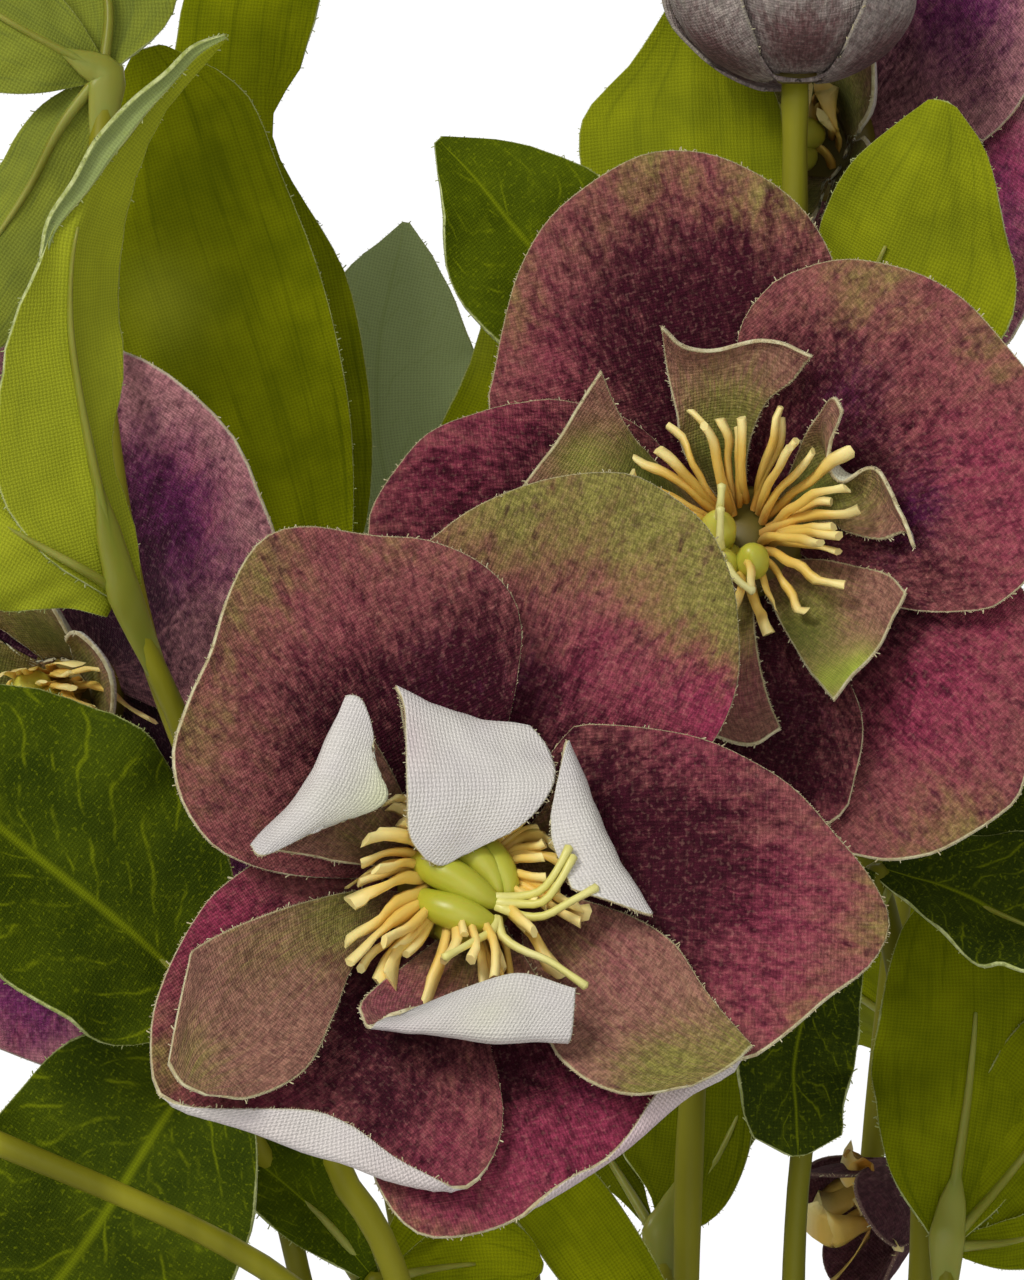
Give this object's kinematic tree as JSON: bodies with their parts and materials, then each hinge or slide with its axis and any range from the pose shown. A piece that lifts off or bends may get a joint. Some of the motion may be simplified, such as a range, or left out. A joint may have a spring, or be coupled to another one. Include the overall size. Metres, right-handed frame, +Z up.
{
  "type": "artificial hellebore plant",
  "caption": "Artificial hellebore in a round pot, with maroon cloth blooms, buds and green cloth leaves on moulded stems.",
  "frame": {"origin": "centre of the underside of the pot", "axes": "+Z up along the pot's axis; -Y is the front, the side that the largest bloom faces; +X to its right"},
  "size_m": [0.2291, 0.1711, 0.3962],
  "materials": {
    "pot_plastic": "matte black, faint moulding grain",
    "fill_grit": "rough bonded grit",
    "stem_plastic": "satin olive green, moulded",
    "petal_cloth": "printed woven cloth, maroon front and off-white back",
    "leaf_cloth": "printed woven cloth, dark green upper face and lime underside",
    "stamen_plastic": "satin ochre yellow, moulded",
    "carpel_plastic": "soft sheen lime yellow, moulded"
  },
  "bodies": {
    "root": {"back_bloom_carpels": "carpel_plastic", "back_bloom_inner_petals": "petal_cloth", "back_bloom_sepals": "petal_cloth", "back_bloom_stamens": "stamen_plastic", "back_bloom_stem": "stem_plastic", "front_bloom_carpels": "carpel_plastic", "front_bloom_inner_petal_bottom": "petal_cloth", "front_bloom_inner_petal_left": "petal_cloth", "front_bloom_inner_petal_right": "petal_cloth", "front_bloom_inner_petal_top": "petal_cloth", "front_bloom_inner_petal_upper_left": "petal_cloth", "front_bloom_inner_petal_upper_right": "petal_cloth", "front_bloom_sepal_bottom": "petal_cloth", "front_bloom_sepal_lower_left": "petal_cloth", "front_bloom_sepal_right": "petal_cloth", "front_bloom_sepal_upper_left": "petal_cloth", "front_bloom_sepal_upper_right": "petal_cloth", "front_bloom_stamens": "stamen_plastic", "front_bloom_stem": "stem_plastic", "leaf_back_left": "leaf_cloth", "leaf_centre_back": "leaf_cloth", "leaf_centre_low": "leaf_cloth", "leaf_far_left": "leaf_cloth", "leaf_front_left": "leaf_cloth", "leaf_front_low": "leaf_cloth", "leaf_left": "leaf_cloth", "leaf_rear_left": "leaf_cloth", "leaf_rear_right": "leaf_cloth", "leaf_right": "leaf_cloth", "leaf_right_low": "leaf_cloth", "leaf_right_side": "leaf_cloth", "leaf_top_left": "leaf_cloth", "leaf_upper_back": "leaf_cloth", "left_bloom_carpels": "carpel_plastic", "left_bloom_inner_petals": "petal_cloth", "left_bloom_sepals": "petal_cloth", "left_bloom_stamens": "stamen_plastic", "left_bloom_stem": "stem_plastic", "open_bud_sepals": "petal_cloth", "open_bud_stamens": "stamen_plastic", "open_bud_stem": "stem_plastic", "pot": "pot_plastic", "pot_fill": "fill_grit", "side_bud_sepals": "petal_cloth", "side_bud_stamens": "stamen_plastic", "side_bud_stem": "stem_plastic", "upper_bloom_carpels": "carpel_plastic", "upper_bloom_inner_petal_bottom": "petal_cloth", "upper_bloom_inner_petal_lower_left": "petal_cloth", "upper_bloom_inner_petal_lower_right": "petal_cloth", "upper_bloom_inner_petal_top": "petal_cloth", "upper_bloom_inner_petal_upper_left": "petal_cloth", "upper_bloom_inner_petal_upper_right": "petal_cloth", "upper_bloom_sepal_bottom": "petal_cloth", "upper_bloom_sepal_left": "petal_cloth", "upper_bloom_sepal_lower_right": "petal_cloth", "upper_bloom_sepal_top": "petal_cloth", "upper_bloom_sepal_upper_right": "petal_cloth", "upper_bloom_stamens": "stamen_plastic", "upper_bloom_stem": "stem_plastic"}
  },
  "joints": []
}
